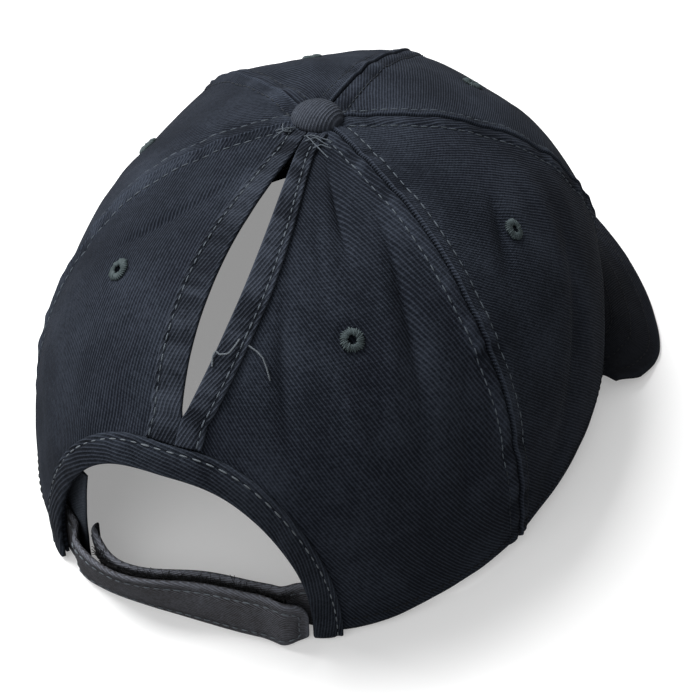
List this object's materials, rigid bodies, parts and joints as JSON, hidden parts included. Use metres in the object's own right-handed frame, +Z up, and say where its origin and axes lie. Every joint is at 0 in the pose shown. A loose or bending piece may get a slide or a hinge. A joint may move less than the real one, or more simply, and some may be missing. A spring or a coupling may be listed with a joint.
{
  "type": "ponytail baseball cap",
  "caption": "Soft panelled baseball cap with a curved brim, a covered top button, a ponytail slit and arch at the back, and a hook-and-loop closing strap.",
  "frame": {"origin": "under the middle of the whole cap, on the surface that it rests on", "axes": "+Z up, the wearer faces -Y, so the brim points to -Y and the arch to +Y; the wearer's right is -X"},
  "size_m": [0.1938, 0.2776, 0.1031],
  "materials": {
    "panel_twill": "washed cotton twill, matt",
    "trim_twill": "washed cotton twill, matt, worn edges",
    "brim_twill": "washed cotton twill, matt",
    "strap_cloth": "washed cotton, matt, worn edges",
    "eyelet_thread": "embroidery thread, satin",
    "tape_nylon": "hook-and-loop pile, matt",
    "sweatband_cloth": "cotton, matt"
  },
  "bodies": {
    "root": {"crown_panel_rear_right": "panel_twill", "eyelet_rear_right": "eyelet_thread", "crown_panel_rear_left": "panel_twill", "eyelet_rear_left": "eyelet_thread", "crown_panel_side_right": "panel_twill", "eyelet_side_right": "eyelet_thread", "crown_panel_side_left": "panel_twill", "eyelet_side_left": "eyelet_thread", "crown_panel_front_right": "panel_twill", "eyelet_front_right": "eyelet_thread", "crown_panel_front_left": "panel_twill", "eyelet_front_left": "eyelet_thread", "top_button": "trim_twill", "slit_band_right": "trim_twill", "slit_band_left": "trim_twill", "arch_binding": "trim_twill", "strap_outer": "strap_cloth", "strap_inner": "strap_cloth", "loop_patch": "tape_nylon", "hook_patch": "tape_nylon", "sweatband": "sweatband_cloth", "brim": "brim_twill"}
  },
  "joints": []
}
